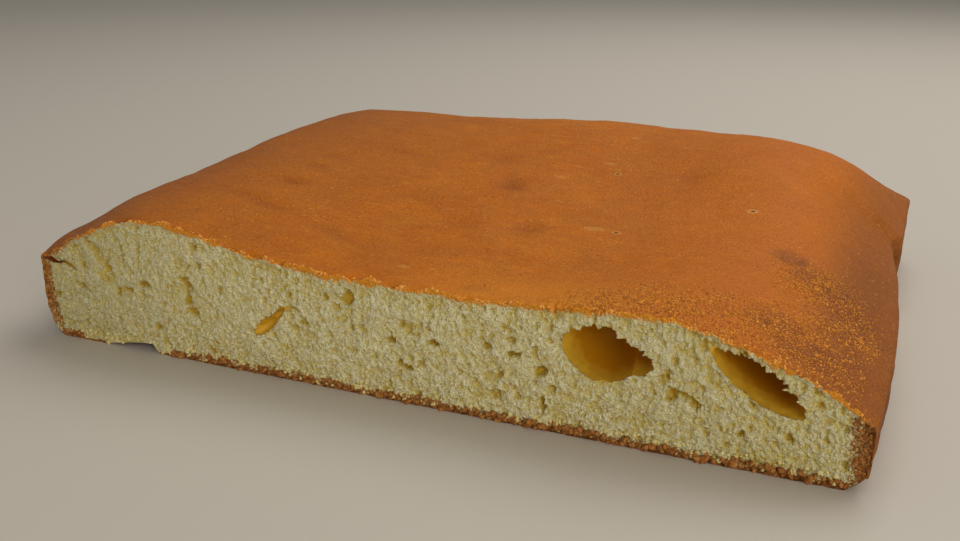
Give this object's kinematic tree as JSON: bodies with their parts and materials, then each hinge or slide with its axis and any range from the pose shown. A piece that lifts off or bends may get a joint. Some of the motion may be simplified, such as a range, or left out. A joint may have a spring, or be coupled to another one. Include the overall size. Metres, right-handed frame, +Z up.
{
  "type": "semolina cake",
  "caption": "Half of a flat baked tray cake with a smooth brown crust on top and one straight cut face that shows the pale crumb.",
  "frame": {"origin": "middle of the bounding box's footprint, on the flat base that the cake rests on", "axes": "+Z up, +X along the cut from its left end to its right end, -Y out of the cut face, so +Y runs into the cake"},
  "size_m": [0.2724, 0.223, 0.0533],
  "materials": {
    "crust": "baked crust, orange brown, smooth with a soft gloss on top, darker and drier on the sides and under the base",
    "crumb": "pale yellow moist crumb, matt and finely porous"
  },
  "bodies": {
    "root": {"cake": "crust"}
  },
  "joints": []
}
